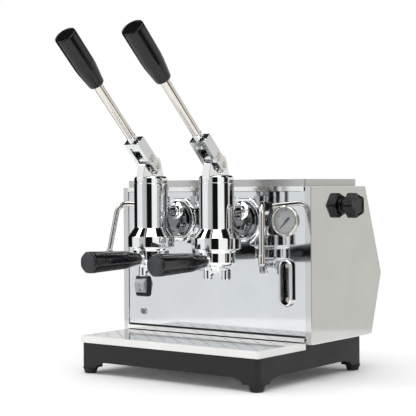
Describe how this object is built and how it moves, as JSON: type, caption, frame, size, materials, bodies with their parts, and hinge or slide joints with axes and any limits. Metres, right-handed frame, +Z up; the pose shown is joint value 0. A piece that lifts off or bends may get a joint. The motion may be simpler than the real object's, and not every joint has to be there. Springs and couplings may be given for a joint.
{
  "type": "espresso machine",
  "caption": "Compact two-group spring-lever espresso machine with polished steel casing, steam wands, portafilters and a perforated drip tray.",
  "frame": {"origin": "on the floor under the middle of the bounding box, midway between the two groups and halfway from the lever grips to the rear cover", "axes": "+X to the machine's right as its user faces it, -Y towards the user and the lever grips, +Z up"},
  "size_m": [0.42, 0.4794, 0.5262],
  "materials": {
    "cast_black": "semi-matte cast texture",
    "foot_rubber": "matte",
    "frame_steel": "brushed",
    "polished_panel": "mirror polished",
    "brushed_lid": "brushed",
    "group_chrome": "polished",
    "wand_steel": "polished",
    "fork_steel": "satin",
    "pin_nickel": "satin nickel",
    "spring_steel": "satin",
    "boiler_copper": "satin copper",
    "fitting_brass": "satin",
    "control_plastic": "moulded",
    "grip_black": "glossy",
    "knob_black": "semi-matte",
    "rocker_grey": "moulded",
    "lamp_grey": "translucent lens",
    "dial_white": "printed",
    "needle_black": "painted",
    "sight_tube_glass": "clear"
  },
  "bodies": {
    "machine": {"base_frame": "cast_black", "boiler_shell": "boiler_copper", "cable_gland": "control_plastic", "case_screws": "frame_steel", "chassis": "frame_steel", "drip_pan": "frame_steel", "feet": "foot_rubber", "front_panel": "polished_panel", "gauge_case": "group_chrome", "gauge_dial": "dial_white", "group_body_left": "group_chrome", "group_body_right": "group_chrome", "group_cap_left": "group_chrome", "group_cap_right": "group_chrome", "group_gaskets": "foot_rubber", "group_spring_left": "spring_steel", "group_spring_right": "spring_steel", "heating_element": "fitting_brass", "indicator_lamp": "lamp_grey", "pipework": "boiler_copper", "pressurestat": "control_plastic", "rear_cover": "polished_panel", "safety_valve": "fitting_brass", "shower_screens": "spring_steel", "side_panel_left": "polished_panel", "side_panel_right": "polished_panel", "sight_glass_frame": "group_chrome", "sight_glass_tube": "sight_tube_glass", "steam_valves": "fitting_brass", "switch_bezel": "knob_black", "terminal_box": "control_plastic", "wand_bushes": "knob_black"},
    "cup_tray": {"cup_tray": "brushed_lid"},
    "tray_cover": {"tray_cover": "polished_panel"},
    "gauge_needle": {"gauge_needle": "needle_black"},
    "switch_rocker": {"switch_rocker": "rocker_grey"},
    "steam_knob_left": {"steam_knob_left": "knob_black"},
    "steam_wand_left": {"steam_wand_left": "wand_steel"},
    "piston_left": {"piston_left": "wand_steel"},
    "lever_left": {"lever_fork_left": "fork_steel", "lever_pins_left": "pin_nickel", "lever_rod_left": "wand_steel", "lever_grip_left": "grip_black"},
    "roller_left": {"lever_roller_left": "fork_steel"},
    "portafilter_left": {"portafilter_body_left": "group_chrome", "portafilter_basket_left": "spring_steel", "portafilter_spout_left": "group_chrome", "portafilter_handle_left": "grip_black"},
    "steam_knob_right": {"steam_knob_right": "knob_black"},
    "steam_wand_right": {"steam_wand_right": "wand_steel"},
    "piston_right": {"piston_right": "wand_steel"},
    "lever_right": {"lever_fork_right": "fork_steel", "lever_pins_right": "pin_nickel", "lever_rod_right": "wand_steel", "lever_grip_right": "grip_black"},
    "roller_right": {"lever_roller_right": "fork_steel"},
    "portafilter_right": {"portafilter_body_right": "group_chrome", "portafilter_basket_right": "spring_steel", "portafilter_spout_right": "group_chrome", "portafilter_handle_right": "grip_black"}
  },
  "joints": [
    {"name": "cup_tray_lift", "type": "slide", "parent": "machine", "child": "cup_tray", "axis": [0, 0, 1], "range_m": [0, 0.15]},
    {"name": "tray_cover_slide", "type": "slide", "parent": "machine", "child": "tray_cover", "axis": [0, -1, 0], "range_m": [0, 0.11]},
    {"name": "gauge_needle_turn", "type": "hinge", "parent": "machine", "child": "gauge_needle", "pos_m": [0.1395, 0.03766, 0.2414], "axis": [0, 1, 0], "range_deg": [0, 270]},
    {"name": "switch_rock", "type": "hinge", "parent": "machine", "child": "switch_rocker", "pos_m": [-0.144, 0.03766, 0.131], "axis": [1, 0, 0], "range_deg": [0, 14]},
    {"name": "steam_knob_left_turn", "type": "hinge", "parent": "machine", "child": "steam_knob_left", "pos_m": [-0.198, 0.13137, 0.2635], "axis": [-1, 0, 0], "range_deg": [0, 540]},
    {"name": "steam_wand_left_swing", "type": "hinge", "parent": "machine", "child": "steam_wand_left", "pos_m": [-0.104, 0.02717, 0.263], "axis": [0, 0, 1], "range_deg": [-20, 30]},
    {"name": "piston_left_rise", "type": "slide", "parent": "machine", "child": "piston_left", "axis": [0, 0, 1], "range_m": [0, 0.0239], "deforming": ["group_spring_left"]},
    {"name": "lever_left_pull", "type": "hinge", "parent": "piston_left", "child": "lever_left", "pos_m": [-0.0644, -0.03864, 0.3262], "axis": [1, 0, 0], "range_deg": [0, 82], "stiffness_Nm_per_rad": 14, "springref_deg": -68.75},
    {"name": "roller_left_turn", "type": "hinge", "parent": "lever_left", "child": "roller_left", "pos_m": [-0.0644, -0.05235, 0.33822], "axis": [1, 0, 0], "continuous": true},
    {"name": "portafilter_left_twist", "type": "hinge", "parent": "machine", "child": "portafilter_left", "pos_m": [-0.0644, -0.03864, 0.2058], "axis": [0, 0, 1], "range_deg": [-36, 0]},
    {"name": "steam_knob_right_turn", "type": "hinge", "parent": "machine", "child": "steam_knob_right", "pos_m": [0.198, 0.13137, 0.2635], "axis": [1, 0, 0], "range_deg": [0, 540]},
    {"name": "steam_wand_right_swing", "type": "hinge", "parent": "machine", "child": "steam_wand_right", "pos_m": [0.104, 0.02717, 0.263], "axis": [0, 0, 1], "range_deg": [-20, 20]},
    {"name": "piston_right_rise", "type": "slide", "parent": "machine", "child": "piston_right", "axis": [0, 0, 1], "range_m": [0, 0.0239], "deforming": ["group_spring_right"]},
    {"name": "lever_right_pull", "type": "hinge", "parent": "piston_right", "child": "lever_right", "pos_m": [0.0644, -0.03864, 0.3262], "axis": [1, 0, 0], "range_deg": [0, 82], "stiffness_Nm_per_rad": 14, "springref_deg": -68.75},
    {"name": "roller_right_turn", "type": "hinge", "parent": "lever_right", "child": "roller_right", "pos_m": [0.0644, -0.05235, 0.33822], "axis": [1, 0, 0], "continuous": true},
    {"name": "portafilter_right_twist", "type": "hinge", "parent": "machine", "child": "portafilter_right", "pos_m": [0.0644, -0.03864, 0.2058], "axis": [0, 0, 1], "range_deg": [-36, 0]}
  ],
  "couplings": [
    {"joint": "piston_left_rise", "follows": "lever_left_pull", "m_per_rad": 0.016686},
    {"joint": "piston_right_rise", "follows": "lever_right_pull", "m_per_rad": 0.016686}
  ]
}
